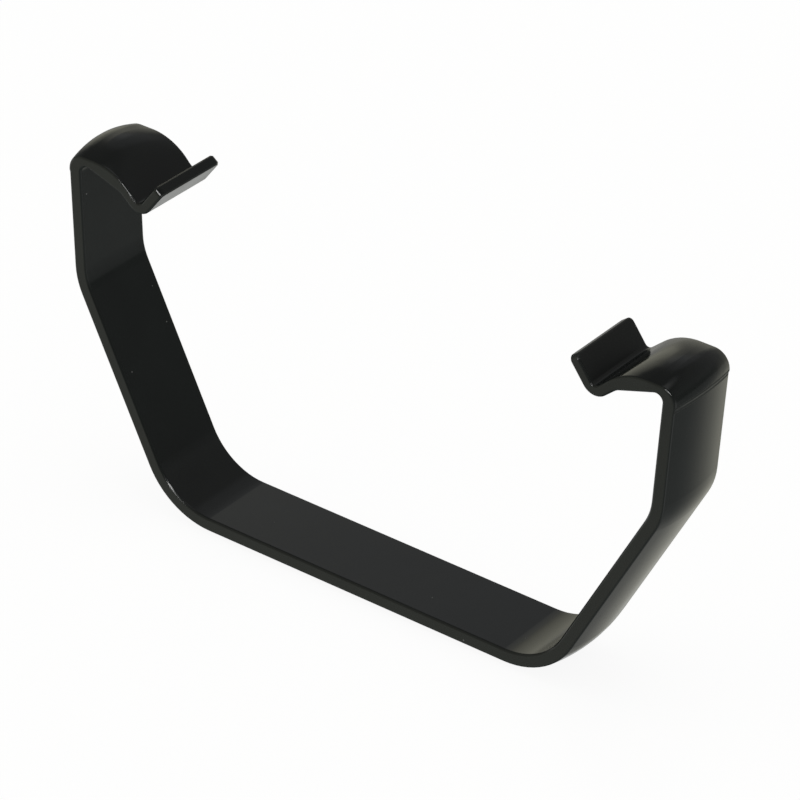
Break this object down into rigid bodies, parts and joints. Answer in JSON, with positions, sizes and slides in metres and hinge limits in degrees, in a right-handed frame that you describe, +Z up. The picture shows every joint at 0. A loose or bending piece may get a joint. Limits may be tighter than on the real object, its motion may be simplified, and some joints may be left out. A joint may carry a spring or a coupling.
{
  "type": "gutter fitting strap",
  "caption": "Moulded gutter fitting strap: a crowned band that hugs a flat-bottomed gutter from below, with a hooked head and thumb tab at each end to snap over the rims.",
  "frame": {"origin": "middle of the strap's crowned underside, on the surface that it stands on", "axes": "+X across the gutter, +Y along the gutter, +Z up out of the trough"},
  "size_m": [0.1204, 0.015, 0.0636],
  "materials": {
    "moulded_plastic": "black moulded plastic with a satin sheen"
  },
  "bodies": {
    "root": {"gutter_strap": "moulded_plastic"}
  },
  "joints": []
}
